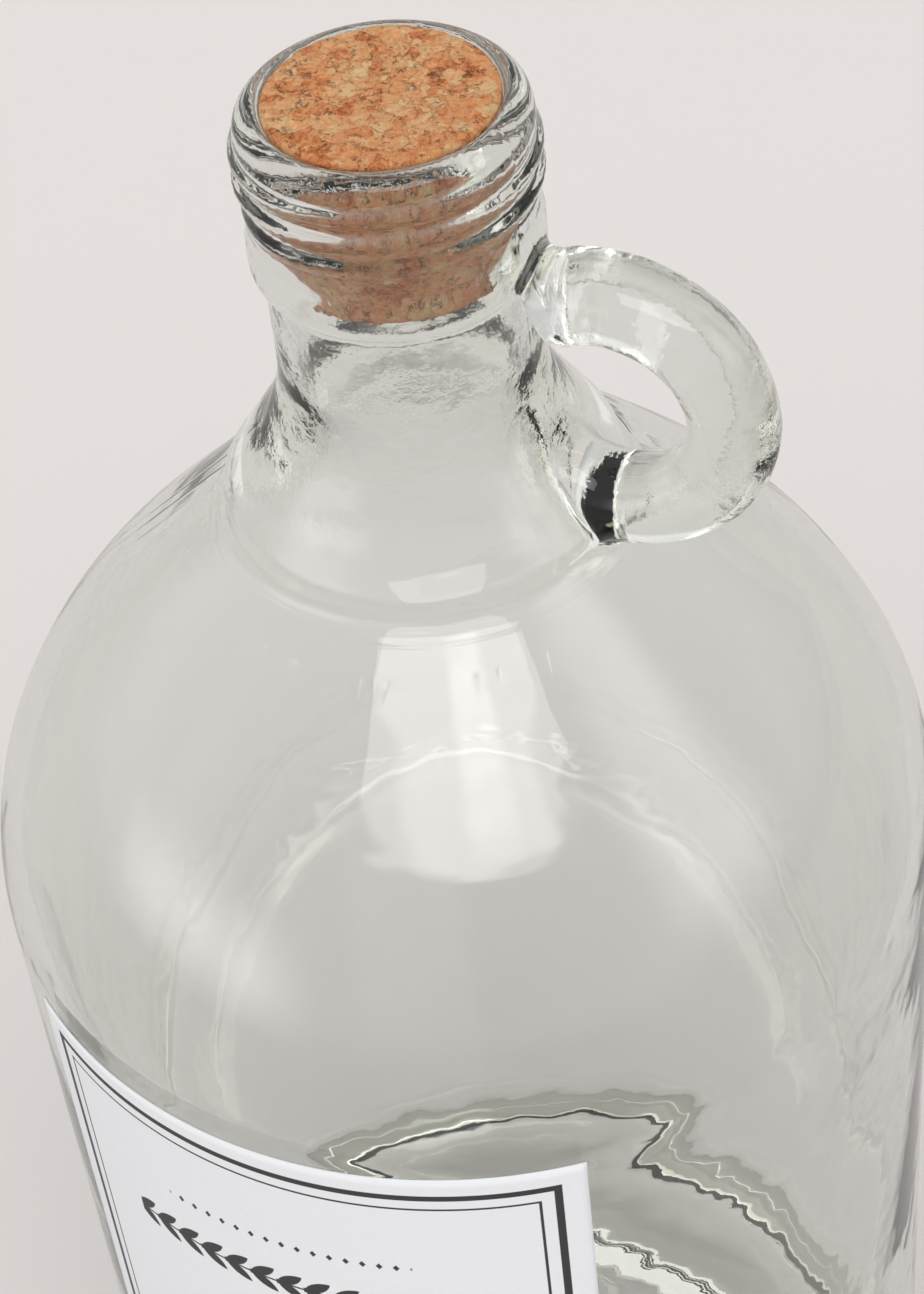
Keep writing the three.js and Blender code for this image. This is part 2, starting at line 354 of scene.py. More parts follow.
def onto_surface(distance, points):
    """The step from each point back onto the surface where the distance is nought."""
    reach = 0.03
    here = distance(*points.T)
    slope = np.empty_like(points)
    for axis in range(3):
        shift = np.zeros(3)
        shift[axis] = reach
        slope[:, axis] = distance(*(points + shift).T) - distance(*(points - shift).T)
    slope /= 2 * reach
    size = np.maximum((slope ** 2).sum(1), 0.2)
    step = slope * (here / size)[:, None]
    length = np.linalg.norm(step, axis=1)
    return step * np.minimum(1, VOXEL / np.maximum(length, 1e-9))[:, None]


# ---------- putting the glass together ----------
def turned_rings(points, segments):
    """Rings of vertices about the axis, one for each profile point off the axis."""
    angles = 2 * math.pi * np.arange(segments) / segments
    around = np.stack([np.cos(angles), np.sin(angles)], axis=1)
    return [np.column_stack([around * r, np.full(segments, z)]) for r, z in points]


def stitched(first, first_angles, second, second_angles):
    """Triangles between two closed rings of vertices, walked round together."""
    faces = []
    i = j = 0
    count, other = len(first), len(second)
    while i < count or j < other:
        next_i = first_angles[(i + 1) % count] + 2 * math.pi * ((i + 1) // count)
        next_j = second_angles[(j + 1) % other] + 2 * math.pi * ((j + 1) // other)
        if j >= other or (i < count and next_i <= next_j):
            faces.append((first[i % count], first[(i + 1) % count], second[j % other]))
            i += 1
        else:
            faces.append((first[i % count], second[(j + 1) % other], second[j % other]))
            j += 1
    return faces


def open_loops(bm):
    """The vertices on each open edge of a mesh, sorted by height, then by angle."""
    edge_vertices = {v for e in bm.edges if e.is_boundary for v in e.verts}
    middle = (SPLIT_HEIGHT + HEIGHT) / 2
    low = [v for v in edge_vertices if v.co.z < middle]
    high = [v for v in edge_vertices if v.co.z >= middle]

    def angle(v):
        return math.atan2(v.co.y, v.co.x) % (2 * math.pi)

    return sorted(low, key=angle), sorted(high, key=angle)


def trimmed_field_mesh():
    """The neck, finish and loop with the mouth opened and a clean edge at the split."""
    vertices, quads = field_mesh(outside_distance())
    bm = bmesh.new()
    made = [bm.verts.new(v) for v in vertices]
    for quad in quads:
        bm.faces.new([made[i] for i in quad])
    everything = bm.verts[:] + bm.edges[:] + bm.faces[:]
    bmesh.ops.bisect_plane(bm, geom=everything, plane_co=(0, 0, SPLIT_HEIGHT),
                           plane_no=(0, 0, 1), clear_inner=True, dist=0.12)
    mouth = MOUTH_RADIUS + MOUTH_ROUND
    lid = [f for f in bm.faces
           if f.calc_center_median().z > HEIGHT - 0.2
           and math.hypot(*f.calc_center_median().xy) < mouth]
    bmesh.ops.delete(bm, geom=lid, context="FACES")
    soften(bm)
    low, high = open_loops(bm)
    for loop, radius, z in ((low, split_point()[0], SPLIT_HEIGHT), (high, mouth, HEIGHT)):
        for v in loop:
            scale = radius / math.hypot(v.co.x, v.co.y)
            v.co = (v.co.x * scale, v.co.y * scale, z)
    return bm, low, high


CREASE_SOFT = 5.0  # reach of the soft hollow under the collar, away from the mould's parting
CREASE_SHARP = 0.5  # within this of the crease it is softened in full
LOOP_CLEAR = (1.5, 4)  # the softening fades in over these distances from the loop
PARTING_SHARE = (0.94, 0.80)  # and over these shares of the radius away from the parting
SOFT_ROUNDS = 45  # of the crease
EVEN_ROUNDS = 2  # of everything
SOFT_WEIGHT = 0.5


def soften(bm):
    """Rounds the sharp inner corners, as molten glass does, most of all under the collar."""
    bm.verts.ensure_lookup_table()
    bm.verts.index_update()
    points = np.array([v.co for v in bm.verts])
    pairs = np.array([[v.index for v in e.verts] for e in bm.edges])
    crease_r, crease_z = crease_point()
    radius = np.hypot(points[:, 0], points[:, 1])
    to_crease = np.hypot(radius - crease_r, points[:, 2] - crease_z)
    loop_side = ramp(loop_distance(*points.T), *LOOP_CLEAR)
    from_parting = ramp(np.abs(points[:, 0]) / radius, *PARTING_SHARE)
    near_crease = ramp(to_crease, CREASE_SOFT, CREASE_SHARP)
    crease = SOFT_WEIGHT * near_crease * loop_side * from_parting
    free = np.array([not v.is_boundary for v in bm.verts])
    count = np.bincount(pairs.ravel(), minlength=len(points))[:, None]
    for i in range(SOFT_ROUNDS):
        total = np.zeros_like(points)
        np.add.at(total, pairs[:, 0], points[pairs[:, 1]])
        np.add.at(total, pairs[:, 1], points[pairs[:, 0]])
        weight = np.maximum(crease, SOFT_WEIGHT if i < EVEN_ROUNDS else 0) * free
        points += (total / count - points) * weight[:, None]
    for v, place in zip(bm.verts, points):
        v.co = place


def add_turned(bm, points, segments, start_loop):
    """Adds a turned surface that starts at an open edge and closes on the axis."""
    rings = turned_rings(points[1:-1], segments)
    step = 2 * math.pi / segments
    angles = [i * step for i in range(segments)]
    previous, previous_angles = start_loop, [
        math.atan2(v.co.y, v.co.x) % (2 * math.pi) for v in start_loop]
    for ring in rings:
        current = [bm.verts.new(v) for v in ring]
        if previous is start_loop:
            for face in stitched(previous, previous_angles, current, angles):
                bm.faces.new(face)
        else:
            for i in range(segments):
                j = (i + 1) % segments
                bm.faces.new((previous[i], previous[j], current[j], current[i]))
        previous = current
    centre = bm.verts.new((0, 0, points[-1][1]))
    for i in range(segments):
        bm.faces.new((previous[i], previous[(i + 1) % segments], centre))


def perlin(points, wavelength, seed):
    """Smooth noise from about -1 to 1 at each point."""
    offset = Vector((seed, 2 * seed, 3 * seed))
    return np.array([noise.noise(Vector(p) / wavelength + offset) for p in points])


def ramp(values, start, end):
    """0 before start, 1 after end, and smooth between them. start may be the higher."""
    t = np.clip((values - start) / (end - start), 0, 1)
    return t * t * (3 - 2 * t)


BROAD_WAVE = 0.05  # heights of the relief in mm
HAMMERED_WAVE = 0.07
INNER_BROAD_WAVE = 0.3
INNER_FINE_WAVE = 0.17


def moulding_relief(points, inside):
    """How far each vertex of the glass stands out: the waviness of moulded glass."""
    z = points[:, 2]
    upper = ramp(z, SPLIT_HEIGHT - 6, SPLIT_HEIGHT + 4)
    below_cork = ramp(z, cork_low.z + 2, cork_low.z - 8)
    broad = BROAD_WAVE * perlin(points, 34, 3.1)
    finish = ramp(z, HEIGHT - BEAD_CURL_DEPTH - 2, HEIGHT - BEAD_TOP_DEPTH)
    above_collar = ramp(z, HEIGHT - COLLAR_BOTTOM_DEPTH, HEIGHT - COLLAR_TOP_DEPTH + 5)
    smoother = 1 - 0.9 * finish
    hammered = HAMMERED_WAVE * above_collar * smoother * perlin(points, 3.2, 7.7)
    off_floor = ramp(z, 25, 70)
    inner_broad = INNER_BROAD_WAVE * off_floor * perlin(points * (1, 1, 0.6), 24, 11.3)
    inner_fine = INNER_FINE_WAVE * upper * perlin(points * (0.6, 0.6, 1.3), 5, 5.9)
    outer = broad * (1 - upper) + hammered
    inner = (inner_broad + inner_fine) * below_cork
    return np.where(inside, inner, outer)


def glass_object():
    bm, low, high = trimmed_field_mesh()
    body = sampled(base_and_body(), BODY_STEP)[::-1]
    add_turned(bm, body, OUTER_SEGMENTS, low)
    outer_count = len(bm.verts)
    add_turned(bm, sampled(cavity(), CAVITY_STEP), INNER_SEGMENTS, high)
    bmesh.ops.recalc_face_normals(bm, faces=bm.faces[:])
    mesh = bpy.data.meshes.new("clear_glass")
    bm.to_mesh(mesh)
    bm.free()
    points = vertex_data(mesh, "co")
    normals = vertex_data(mesh, "normal")
    inside = np.arange(len(points)) >= outer_count
    points += normals * moulding_relief(points, inside)[:, None]
    mesh.vertices.foreach_set("co", (points * MM).ravel())
    outside = mesh.attributes.new("outside", "FLOAT", "POINT")
    outside.data.foreach_set("value", np.where(inside, 0.0, 1.0))
    return finished(mesh, "clear_glass")


def vertex_data(mesh, field):
    flat = np.empty(len(mesh.vertices) * 3)
    mesh.vertices.foreach_get(field, flat)
    return flat.reshape(-1, 3)


def finished(mesh, name):
    mesh.shade_smooth()
    mesh.update()
    piece = bpy.data.objects.new(name, mesh)
    bpy.context.scene.collection.objects.link(piece)
    return piece


# ---------- cork ----------
CORK_FOOT_RADIUS = 13.3  # a little wider than the CAD's
CORK_CLEARANCE = 0.06  # between the cork and the bore, where they are nearest
CORK_GRIP = 13.5  # depth below the lip where the cork's side leaves the bore's taper
CORK_EDGE = 0.45
CORK_SEGMENTS = 250
GRANULE = 2.3  # usual size of a granule
GRANULE_SEED = 7  # noise_vector takes its offsets from Blender's random state


def granule_relief(points, normals):
    """Granules stand a little proud of the torn gaps between them, and some are chipped."""
    noise.seed_set(GRANULE_SEED)
    relief = []
    for p in points:
        spot = Vector(p) / GRANULE
        torn = spot + 0.55 * noise.noise_vector(spot * 1.7)
        distances, places = noise.voronoi(torn)
        gap = max(0, 1 - (distances[1] - distances[0]) / 0.2)
        chipped = 0.5 + 0.5 * noise.noise(places[0] * 7.3)
        grain = noise.noise(spot * 2.9)
        relief.append(0.26 * chipped - 0.22 * gap * chipped + 0.12 * grain - 0.12)
    return normals * np.array(relief)[:, None]


def bore_radius(z):
    """The radius of the mouth at a height, which narrows down to the neck's bore."""
    straight_end = HEIGHT - MOUTH_ROUND - MOUTH_STRAIGHT
    return np.interp(z, (HEIGHT - BEAD_CURL_DEPTH, straight_end),
                     (NECK_RADIUS - NECK_WALL, MOUTH_RADIUS))


def cork_object():
    """A tapered cork that follows the bore at the top and tapers away from it below."""
    top, bottom = cork_high.z, cork_low.z
    grip_end = HEIGHT - CORK_GRIP
    outline = joined([
        Line((0, bottom), (CORK_FOOT_RADIUS - CORK_EDGE, bottom)),
        Line((CORK_FOOT_RADIUS, bottom + CORK_EDGE), (bore_radius(grip_end), grip_end)),
        Line((bore_radius(grip_end), grip_end), (MOUTH_RADIUS, top - CORK_EDGE)),
        Line((MOUTH_RADIUS - CORK_EDGE, top), (0, top)),
    ])
    points = sampled(outline, CORK_STEP)
    bm = bmesh.new()
    rings = turned_rings(points[1:-1], CORK_SEGMENTS)
    made = [[bm.verts.new(v) for v in ring] for ring in rings]
    for below, above in zip(made, made[1:]):
        for i in range(CORK_SEGMENTS):
            j = (i + 1) % CORK_SEGMENTS
            bm.faces.new((below[i], below[j], above[j], above[i]))
    for ring, z in ((made[0], bottom), (made[-1], top)):
        centre = bm.verts.new((0, 0, z))
        for i in range(CORK_SEGMENTS):
            bm.faces.new((ring[i], ring[(i + 1) % CORK_SEGMENTS], centre))
    bmesh.ops.recalc_face_normals(bm, faces=bm.faces[:])
    mesh = bpy.data.meshes.new("granulated_cork")
    bm.to_mesh(mesh)
    bm.free()
    points = vertex_data(mesh, "co")
    points += granule_relief(points, vertex_data(mesh, "normal"))
    radius = np.hypot(points[:, 0], points[:, 1])
    most = bore_radius(points[:, 2]) - CORK_CLEARANCE
    points[:, :2] *= np.minimum(1, most / np.maximum(radius, 1e-6))[:, None]
    mesh.vertices.foreach_set("co", (points * MM).ravel())
    return finished(mesh, "granulated_cork")


# ---------- label ----------
LABEL_COLUMNS = 96
LABEL_ROWS = 64


def sheet_edge(grid):
    """The vertices around a sheet's edge, once round."""
    return (grid[0][:-1] + [row[-1] for row in grid[:-1]]
            + grid[-1][:0:-1] + [row[0] for row in grid[:0:-1]])


def label_object():
    """A thin curved sheet of paper that carries its print coordinates in mm: across, down,
    and 1 on the printed face or 0 on the back."""
    top, height = label_high.z, label_high.z - label_low.z
    inner = BODY_RADIUS + LABEL_GAP
    bm = bmesh.new()
    print_layer = bm.verts.layers.float_vector.new("print_mm")
    sides = []
    for face, radius in enumerate((inner, inner + LABEL_THICKNESS)):
        grid = []
        for row in range(LABEL_ROWS + 1):
            down = height * row / LABEL_ROWS
            line = []
            for column in range(LABEL_COLUMNS + 1):
                turn = LABEL_HALF_ANGLE * (2 * column / LABEL_COLUMNS - 1)
                angle = turn - math.pi / 2
                v = bm.verts.new((radius * math.cos(angle), radius * math.sin(angle),
                                  top - down))
                v[print_layer] = (turn * inner, down, face)
                line.append(v)
            grid.append(line)
        sides.append(grid)
    back, front = sides
    for grid in sides:
        for row in range(LABEL_ROWS):
            for column in range(LABEL_COLUMNS):
                bm.faces.new((grid[row][column], grid[row][column + 1],
                              grid[row + 1][column + 1], grid[row + 1][column]))
    back_edge, front_edge = sheet_edge(back), sheet_edge(front)
    for i in range(len(back_edge)):
        j = (i + 1) % len(back_edge)
        bm.faces.new((back_edge[i], back_edge[j], front_edge[j], front_edge[i]))
    bmesh.ops.recalc_face_normals(bm, faces=bm.faces[:])
    bmesh.ops.scale(bm, vec=(MM, MM, MM), verts=bm.verts[:])
    mesh = bpy.data.meshes.new("paper_label")
    bm.to_mesh(mesh)
    bm.free()
    return finished(mesh, "paper_label")


# ---------- shader helpers ----------
def linear(*srgb):
    """A colour for a socket from 0 to 255 sRGB values."""
    channels = [c / 255 for c in srgb]
    return (*[c / 12.92 if c <= 0.04045 else ((c + 0.055) / 1.055) ** 2.4
              for c in channels], 1)


class Field:
    """A number worked out by shader nodes, written with Python's operators."""

    def __init__(self, tree, socket):
        self.tree, self.socket = tree, socket

    def math(self, operation, *others):
        node = self.tree.nodes.new("ShaderNodeMath")
        node.operation = operation
        for i, value in enumerate((self, *others)):
            if isinstance(value, Field):
                self.tree.links.new(value.socket, node.inputs[i])
            else:
                node.inputs[i].default_value = value
        return Field(self.tree, node.outputs[0])

    def __add__(self, other):
        return self.math("ADD", other)

    def __sub__(self, other):
        return self.math("SUBTRACT", other)

    def __mul__(self, other):
        return self.math("MULTIPLY", other)

    def __abs__(self):
        return self.math("ABSOLUTE")

    def least(self, other):
        return self.math("MINIMUM", other)

    def most(self, other):
        return self.math("MAXIMUM", other)

    def step(self, start, end):
        """0 before start, 1 after end, and smooth between them."""
        node = self.tree.nodes.new("ShaderNodeMapRange")
        node.interpolation_type = "SMOOTHSTEP"
        node.inputs["From Min"].default_value = start
        node.inputs["From Max"].default_value = end
        self.tree.links.new(self.socket, node.inputs["Value"])
        return Field(self.tree, node.outputs["Result"])


def material(name):
    made = bpy.data.materials.new(name)
    made.use_nodes = True
    shader = made.node_tree.nodes["Principled BSDF"]
    return made, made.node_tree, shader


def object_position(tree):
    """The place on the object in mm, as a vector socket and its three numbers."""
    coordinates = tree.nodes.new("ShaderNodeTexCoord")
    scale = tree.nodes.new("ShaderNodeVectorMath")
    scale.operation = "SCALE"
    scale.inputs["Scale"].default_value = 1 / MM
    tree.links.new(coordinates.outputs["Object"], scale.inputs[0])
    split = tree.nodes.new("ShaderNodeSeparateXYZ")
    tree.links.new(scale.outputs[0], split.inputs[0])
    return scale.outputs[0], [Field(tree, socket) for socket in split.outputs]


def noise_field(tree, vector, wavelength, detail=2.0, roughness=0.5, distortion=0.0):
    node = tree.nodes.new("ShaderNodeTexNoise")
    node.inputs["Scale"].default_value = 1 / wavelength
    node.inputs["Detail"].default_value = detail
    node.inputs["Roughness"].default_value = roughness
    node.inputs["Distortion"].default_value = distortion
    tree.links.new(vector, node.inputs["Vector"])
    return Field(tree, node.outputs["Fac"])


def mixed(tree, factor, first, second):
    """A colour between two colours or colour sockets."""
    node = tree.nodes.new("ShaderNodeMix")
    node.data_type = "RGBA"
    tree.links.new(factor.socket, node.inputs["Factor"])
    for name, colour in (("A", first), ("B", second)):
        socket = next(s for s in node.inputs if s.name == name and s.type == "RGBA")
        if isinstance(colour, bpy.types.NodeSocket):
            tree.links.new(colour, socket)
        else:
            socket.default_value = colour
    return next(s for s in node.outputs if s.type == "RGBA")


def bumped(tree, shader, height, distance):
    """Gives a shader a bump from a height field, in metres for each unit of height."""
    node = tree.nodes.new("ShaderNodeBump")
    node.inputs["Distance"].default_value = distance
    node.inputs["Strength"].default_value = 1.0
    tree.links.new(height.socket, node.inputs["Height"])
    tree.links.new(node.outputs["Normal"], shader.inputs["Normal"])


# ---------- materials ----------
GLASS_TINT = (0.985, 0.99, 0.98, 1)
GLASS_ABSORPTION = (0.78, 0.80, 0.58, 1)
GLASS_DENSITY = 9.0  # per metre
GLASS_IOR = 1.51
SEAM_HEIGHT = 0.03  # heights of the bump in mm: the mould's parting line
MOULD_LINE_HEIGHT = 0.018
MOULD_LINE_DEPTHS = (62.6, 63.8)  # fine rings under the collar
RIPPLE_HEIGHT = 0.06
GRAIN_HEIGHT = 0.0015
PEEL_HEIGHT = 0.065


def glass_material():
    made, tree, shader = material("clear_glass")
    shader.inputs["Base Color"].default_value = GLASS_TINT
    shader.inputs["Roughness"].default_value = 0.0
    shader.inputs["IOR"].default_value = GLASS_IOR
    shader.inputs["Transmission Weight"].default_value = 1.0
    place, (_, y, z) = object_position(tree)
    attribute = tree.nodes.new("ShaderNodeAttribute")
    attribute.attribute_name = "outside"
    outside = Field(tree, attribute.outputs["Fac"])
    seam = abs(y).step(0.6, 0.0) * SEAM_HEIGHT * z.step(HEIGHT - 105, HEIGHT - 75)
    lines = z * 0
    for depth in MOULD_LINE_DEPTHS:
        lines = lines + abs(z - (HEIGHT - depth)).step(0.35, 0.0) * MOULD_LINE_HEIGHT
    above_base = z.step(8, 30)
    waves = noise_field(tree, place, 7, detail=1) * RIPPLE_HEIGHT
    grain = noise_field(tree, place, 1.2, detail=1) * GRAIN_HEIGHT
    ripple = (waves + grain) * above_base
    finish = z.step(HEIGHT - BEAD_CURL_DEPTH - 3, HEIGHT - BEAD_TOP_DEPTH)
    above_collar = z.step(HEIGHT - COLLAR_BOTTOM_DEPTH, HEIGHT - COLLAR_TOP_DEPTH + 5)
    peel_height = (finish * -0.8 + 1) * above_collar * PEEL_HEIGHT
    orange_peel = noise_field(tree, place, 1.5, detail=3) * peel_height
    height = outside * (seam + lines + ripple) + orange_peel
    bumped(tree, shader, height, MM)
    volume = tree.nodes.new("ShaderNodeVolumeAbsorption")
    volume.inputs["Color"].default_value = GLASS_ABSORPTION
    volume.inputs["Density"].default_value = GLASS_DENSITY
    output = next(n for n in tree.nodes if n.type == "OUTPUT_MATERIAL")
    tree.links.new(volume.outputs[0], output.inputs["Volume"])
    return made


CORK_COLOURS = ((255, 220, 166), (255, 190, 132), (244, 156, 98), (184, 92, 48))
# painted shade: the dark colour painted into the cracks
CORK_CRACK_SHADE = (104, 46, 22)
# glue between the granules, darkened further with a painted shadow in the gaps
CORK_GLUE_AND_SHADOW = (158, 88, 50)


def torn_position(tree, place, wavelength, reach):
    """The place on the cork pushed about by noise, so that granules get ragged edges."""
    wobble = tree.nodes.new("ShaderNodeTexNoise")
    wobble.inputs["Scale"].default_value = 1 / wavelength
    wobble.inputs["Detail"].default_value = 5
    wobble.inputs["Roughness"].default_value = 0.62
    tree.links.new(place, wobble.inputs["Vector"])
    torn = tree.nodes.new("ShaderNodeVectorMath")
    torn.operation = "MULTIPLY_ADD"
    torn.inputs[1].default_value = (reach, reach, reach)
    tree.links.new(wobble.outputs["Color"], torn.inputs[0])
    tree.links.new(place, torn.inputs[2])
    return torn.outputs[0]


def granule_tone(tree, vector, size):
    """A tone from 0 to 1 that is the same all over each granule, and its gaps."""
    cells = tree.nodes.new("ShaderNodeTexVoronoi")
    edges = tree.nodes.new("ShaderNodeTexVoronoi")
    edges.feature = "DISTANCE_TO_EDGE"
    for node in (cells, edges):
        node.inputs["Scale"].default_value = 1 / size
        tree.links.new(vector, node.inputs["Vector"])
    tone = tree.nodes.new("ShaderNodeSeparateColor")
    tree.links.new(cells.outputs["Color"], tone.inputs[0])
    return Field(tree, tone.outputs[0]), Field(tree, edges.outputs["Distance"])


def cork_material():
    """Torn granules of several sizes and tans, with fibrous grain, glue and cracks. The colour
    also paints shade: darker in the grain's low places, a painted shadow in the gaps and painted
    shade in the cracks.
    """
    made, tree, shader = material("granulated_cork")
    place, _ = object_position(tree)
    torn = torn_position(tree, place, 1.9, 4.2)
    coarse, coarse_edge = granule_tone(tree, torn, GRANULE)
    fine, _ = granule_tone(tree, torn, GRANULE * 0.42)
    grain = noise_field(tree, torn, 0.75, detail=6, roughness=0.72, distortion=0.6)
    patch = noise_field(tree, place, 3.4, detail=2)
    # granule tones and fibre, with painted shade: the grain term darkens the colour where the
    # grain's bump is low
    shade = coarse * 0.5 + fine * 0.26 + (grain - 0.5) * 1.9 + (patch - 0.5) * 0.6 + 0.10
    colours = tree.nodes.new("ShaderNodeValToRGB")
    elements = colours.color_ramp.elements
    while len(elements) < len(CORK_COLOURS):
        elements.new(0.5)
    for i, colour in enumerate(CORK_COLOURS):
        elements[i].position = i / (len(CORK_COLOURS) - 1)
        elements[i].color = linear(*colour)
    tree.links.new(shade.socket, colours.inputs[0])
    broken = noise_field(tree, place, 1.6, detail=3).step(0.44, 0.60)
    # glue and a painted shadow in the gaps between granules
    gap = coarse_edge.step(0.05, 0.0) * broken
    with_glue_and_shadow = mixed(tree, gap * 0.5, colours.outputs[0], linear(*CORK_GLUE_AND_SHADOW))
    thread = abs(noise_field(tree, torn, 2.6, detail=5, roughness=0.6) - 0.5)
    # thin cracks, painted dark as the shade in them
    crack = thread.step(0.022, 0.004) * noise_field(tree, place, 1.3).step(0.52, 0.62)
    coloured = mixed(tree, crack * 0.85, with_glue_and_shadow, linear(*CORK_CRACK_SHADE))
    tree.links.new(coloured, shader.inputs["Base Color"])
    shader.inputs["Roughness"].default_value = 0.82
    shader.inputs["Specular IOR Level"].default_value = 0.25
    bumped(tree, shader, grain * 0.75 + coarse * 0.3 - crack * 0.3 - gap * 0.25, MM)
    return made


PAPER = (233, 234, 237)
PAPER_SHADE = (225, 226, 230)
INK = (18, 17, 18)
BORDER_INSET = 4.15  # mm from the label's edge to the middle of the thick line
BORDER_HALF = (0.62, 0.52)  # a line's half width, with its soft edge
THIN_INSET = 6.7
THIN_HALF = (0.26, 0.16)
LEAVES_DOWN = 31  # mm below the label's top
DIAMONDS_DOWN = 21


def label_material():
    """White paper with a generic print: a double border, a row of leaves and one of diamonds."""
    made, tree, shader = material("printed_paper")
    attribute = tree.nodes.new("ShaderNodeAttribute")
    attribute.attribute_name = "print_mm"
    split = tree.nodes.new("ShaderNodeSeparateXYZ")
    tree.links.new(attribute.outputs["Vector"], split.inputs[0])
    u, v, face = (Field(tree, split.outputs[i]) for i in range(3))
    half_width = LABEL_HALF_ANGLE * (BODY_RADIUS + LABEL_GAP)
    half_height = (label_high.z - label_low.z) / 2
    to_edge = (abs(u) * -1 + half_width).least(abs(v - half_height) * -1 + half_height)
    thick = abs(to_edge - BORDER_INSET).step(*BORDER_HALF)
    thin = abs(to_edge - THIN_INSET).step(*THIN_HALF)
    garland = leaf_row(u, v - LEAVES_DOWN, pitch=4.3, length=2.8, width=1.0, reach=27)
    small = bead_row(u, v - DIAMONDS_DOWN, pitch=2.4, size=0.5, reach=19)
    ink = thick.most(thin).most(garland).most(small) * face.step(0.4, 0.6)
    fibre = noise_field(tree, attribute.outputs["Vector"], 0.7, detail=4, roughness=0.65)
    mottled = mixed(tree, fibre, linear(*PAPER_SHADE), linear(*PAPER))
    coloured = mixed(tree, ink * 0.97, mottled, linear(*INK))
    tree.links.new(coloured, shader.inputs["Base Color"])
    shader.inputs["Roughness"].default_value = 0.5
    shader.inputs["Specular IOR Level"].default_value = 0.35
    bumped(tree, shader, fibre * 0.02, MM)
    return made


def repeated(u, pitch):
    """u folded into one pitch, from minus half a pitch to half a pitch."""
    return u.math("WRAP", pitch / 2, -pitch / 2)


def leaf_row(u, v, pitch, length, width, reach):
    """Pairs of almond leaves along a thin stem."""
    turn = math.radians(38)
    local = repeated(u, pitch)
    leaves = None
    for side in (1, -1):
        up = v * side - length * 0.42
        along = local * math.cos(turn) + up * math.sin(turn)
        across = up * math.cos(turn) - local * math.sin(turn)
        bow = (length ** 2 / width - width) / 2
        distance = (along * along + (abs(across) + bow) * (abs(across) + bow)).math("SQRT")
        leaf = (distance - (bow + width)).step(0.08, -0.08)
        leaves = leaf if leaves is None else leaves.most(leaf)
    stem = abs(v).step(0.26, 0.14)
    return leaves.most(stem) * abs(u).step(reach + 0.1, reach - 0.1)


def bead_row(u, v, pitch, size, reach):
    """A row of small diamonds."""
    local = repeated(u, pitch)
    diamond = (abs(local) + abs(v) * 0.7).step(size + 0.08, size - 0.08)
    return diamond * abs(u).step(reach + 0.1, reach - 0.1)


def floor_material(name, base, glow=0.0):
    made, tree, shader = material(name)
    shader.inputs["Emission Color"].default_value = (1, 0.97, 0.95, 1)
    shader.inputs["Emission Strength"].default_value = glow
    place, _ = object_position(tree)
    shade = noise_field(tree, place, 60, detail=1)
    colour = mixed(tree, shade, base, [c * 0.995 for c in base[:3]] + [1])
    tree.links.new(colour, shader.inputs["Base Color"])
    shader.inputs["Roughness"].default_value = 0.9
    shader.inputs["Specular IOR Level"].default_value = 0.0
    return made


# ---------- studio ----------
PAPER_FLOOR_COLOUR = (0.696, 0.662, 0.643, 1)
# painted shade: darker than the paper, so that the floor seen through the glass looks shaded
TABLE_COLOUR = (0.445, 0.427, 0.412, 1)
TABLE_GLOW = 0.16  # the table top is lit from below, as a light table is
STAGE_RADIUS = 4  # metres, so that a low view through the glass still meets the table
PAPER_HEIGHT = -0.0005  # metres, just under the bottle
TABLE_HEIGHT = -0.0012
BACKDROP = linear(229, 224, 221)
DOME = 0.88
HORIZON = (-4, 6)  # degrees up, over which the table's tone turns into the dome's
PAST_TABLE = 0.6  # about as bright as the table, so that its far edge doesn't show


def stage_disc(name, radius, z, colour, glow=0.0):
    bm = bmesh.new()
    bmesh.ops.create_circle(bm, cap_ends=True, segments=128, radius=radius)
    bmesh.ops.translate(bm, verts=bm.verts[:], vec=(0, 0, z))
    mesh = bpy.data.meshes.new(name)
    bm.to_mesh(mesh)
    bm.free()
    disc = bpy.data.objects.new(name, mesh)
    bpy.context.scene.collection.objects.link(disc)
    disc.data.materials.append(floor_material(name, colour, glow))
    return disc


def studio_floor():
    """Pale paper that only the camera sees, above a darker table that everything else meets. The
    table's darker tone is painted shade, seen through the glass.
    """
    paper = stage_disc("studio_floor", STAGE_RADIUS, PAPER_HEIGHT, PAPER_FLOOR_COLOUR)
    for kind in ("diffuse", "glossy", "transmission", "shadow"):
        setattr(paper, f"visible_{kind}", False)
    table = stage_disc("studio_table", STAGE_RADIUS, TABLE_HEIGHT, TABLE_COLOUR, TABLE_GLOW)
    table.visible_camera = False


# A light window: its middle and half width round the axis and its low and high edge, all
# in degrees, then the softness of its edges in degrees, and its brightness.
DIM_RIGHT = ((45, 32, -12, 34, 8), -0.32)  # a share taken off the room
SOFTBOXES = (
    ((-60, 37, 38, 62, 0.5), 2.6),  # main box
    ((-54, 9, 40.5, 44, 2.5), 2.2),  # its hot core
    ((-129, 22, 1, 16, 10), 1.7),  # left
    ((2, 15, 9, 36, 8), 1.3),  # right
)


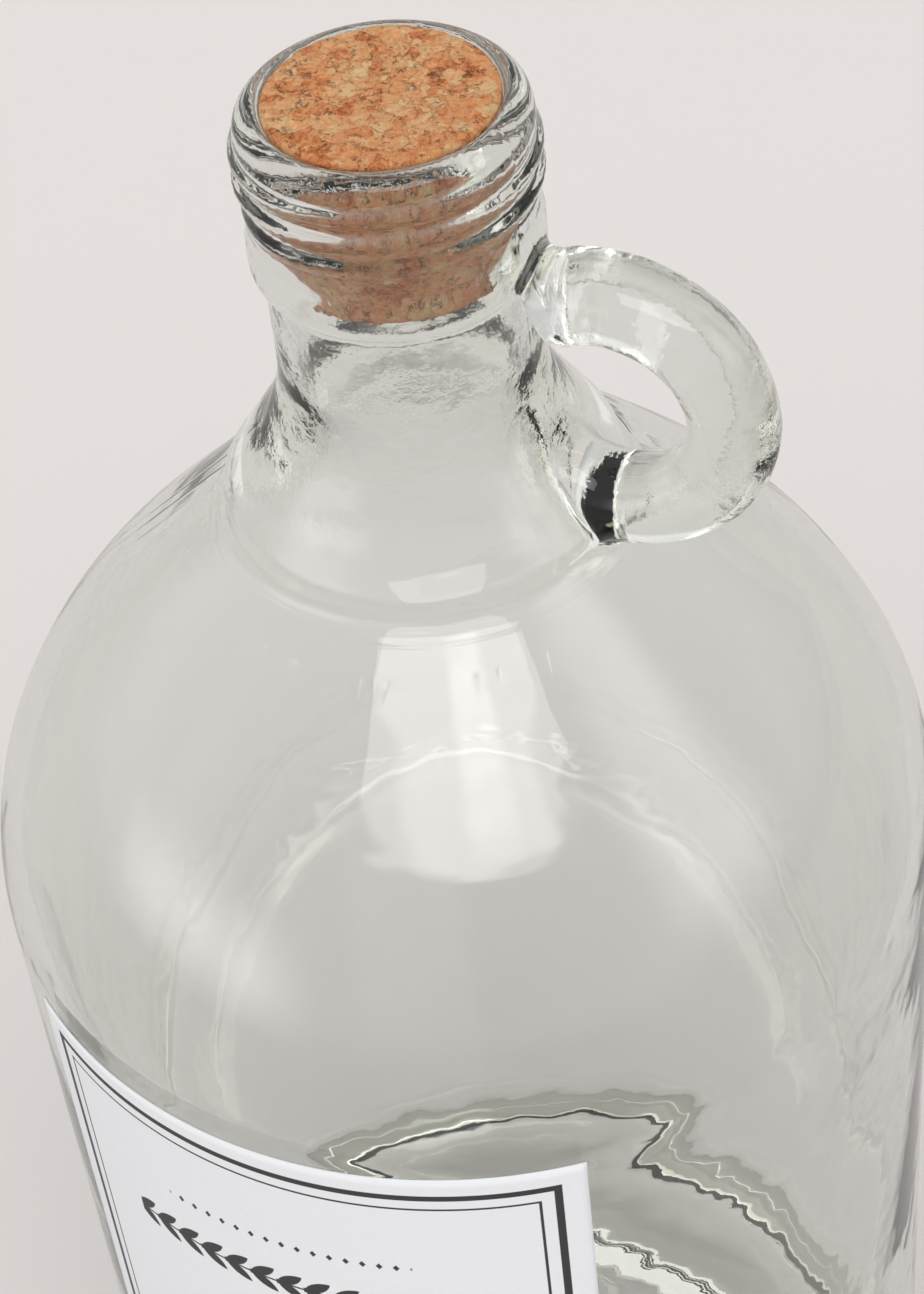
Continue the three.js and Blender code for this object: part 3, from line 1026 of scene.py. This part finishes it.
def studio_light():
    """A soft pale room, a little darker at the right, with softboxes by direction."""
    world = bpy.data.worlds.new("studio")
    bpy.context.scene.world = world
    world.use_nodes = True
    tree = world.node_tree
    background = tree.nodes["Background"]
    coordinates = tree.nodes.new("ShaderNodeTexCoord")
    split = tree.nodes.new("ShaderNodeSeparateXYZ")
    tree.links.new(coordinates.outputs["Generated"], split.inputs[0])
    x, y, z = (Field(tree, socket) for socket in split.outputs)
    azimuth = y.math("ARCTAN2", x)
    elevation = z.math("ARCSINE")

    def window(middle, half_width, low, high, soft):
        around = (azimuth - math.radians(middle)).math("WRAP", math.pi, -math.pi)
        edge = math.radians(soft)
        across = abs(around).step(math.radians(half_width) + edge,
                                  math.radians(half_width) - edge)
        above = elevation.step(math.radians(low) - edge, math.radians(low) + edge)
        below = elevation.step(math.radians(high) + edge, math.radians(high) - edge)
        return across * above * below

    start, end = (math.radians(degrees) for degrees in HORIZON)
    light = elevation.step(start, end) * (DOME - PAST_TABLE) + PAST_TABLE
    shape, share = DIM_RIGHT
    light = light * (window(*shape) * share + 1)
    for shape, brightness in SOFTBOXES:
        light = light + window(*shape) * brightness
    camera_ray = tree.nodes.new("ShaderNodeLightPath").outputs["Is Camera Ray"]
    grey = tree.nodes.new("ShaderNodeCombineColor")
    for i in range(3):
        tree.links.new(light.socket, grey.inputs[i])
    seen = mixed(tree, Field(tree, camera_ray), grey.outputs[0], BACKDROP)
    tree.links.new(seen, background.inputs["Color"])
    background.inputs["Strength"].default_value = 1.0


# ---------- camera ----------
LENS = 84.67  # mm
SENSOR = 36  # mm, along the picture's longer side
CAMERA_TURN = 28.14  # degrees about Z
CAMERA_TILT = 45.52  # degrees up from straight down
CAMERA_ROLL = -6.65  # degrees
CAMERA_PLACE = (0.14619, -0.26888, HEIGHT * MM + 0.20731)  # metres


def studio_camera():
    data = bpy.data.cameras.new("camera")
    data.lens = LENS
    data.sensor_width = SENSOR
    data.clip_start, data.clip_end = 0.01, 20
    camera = bpy.data.objects.new("camera", data)
    bpy.context.scene.collection.objects.link(camera)
    turn = (Matrix.Rotation(math.radians(CAMERA_TURN), 4, "Z")
            @ Matrix.Rotation(math.radians(CAMERA_TILT), 4, "X")
            @ Matrix.Rotation(math.radians(CAMERA_ROLL), 4, "Z"))
    camera.matrix_world = Matrix.Translation(CAMERA_PLACE) @ turn
    bpy.context.scene.camera = camera


def colour_management():
    scene = bpy.context.scene
    scene.view_settings.view_transform = "Standard"
    scene.cycles.max_bounces = 24
    scene.cycles.transmission_bounces = 24
    scene.cycles.glossy_bounces = 8
    scene.cycles.diffuse_bounces = 4


# ---------- assembly ----------
def add_piece(piece, made, body, node):
    piece.data.materials.append(made)
    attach(piece, body)
    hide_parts(node)


studio_camera()
add_piece(glass_object(), glass_material(), "bottle", "glass_bottle")
add_piece(cork_object(), cork_material(), "cork", "cork_stopper")
add_piece(label_object(), label_material(), "bottle", "front_label")
studio_floor()
studio_light()
colour_management()
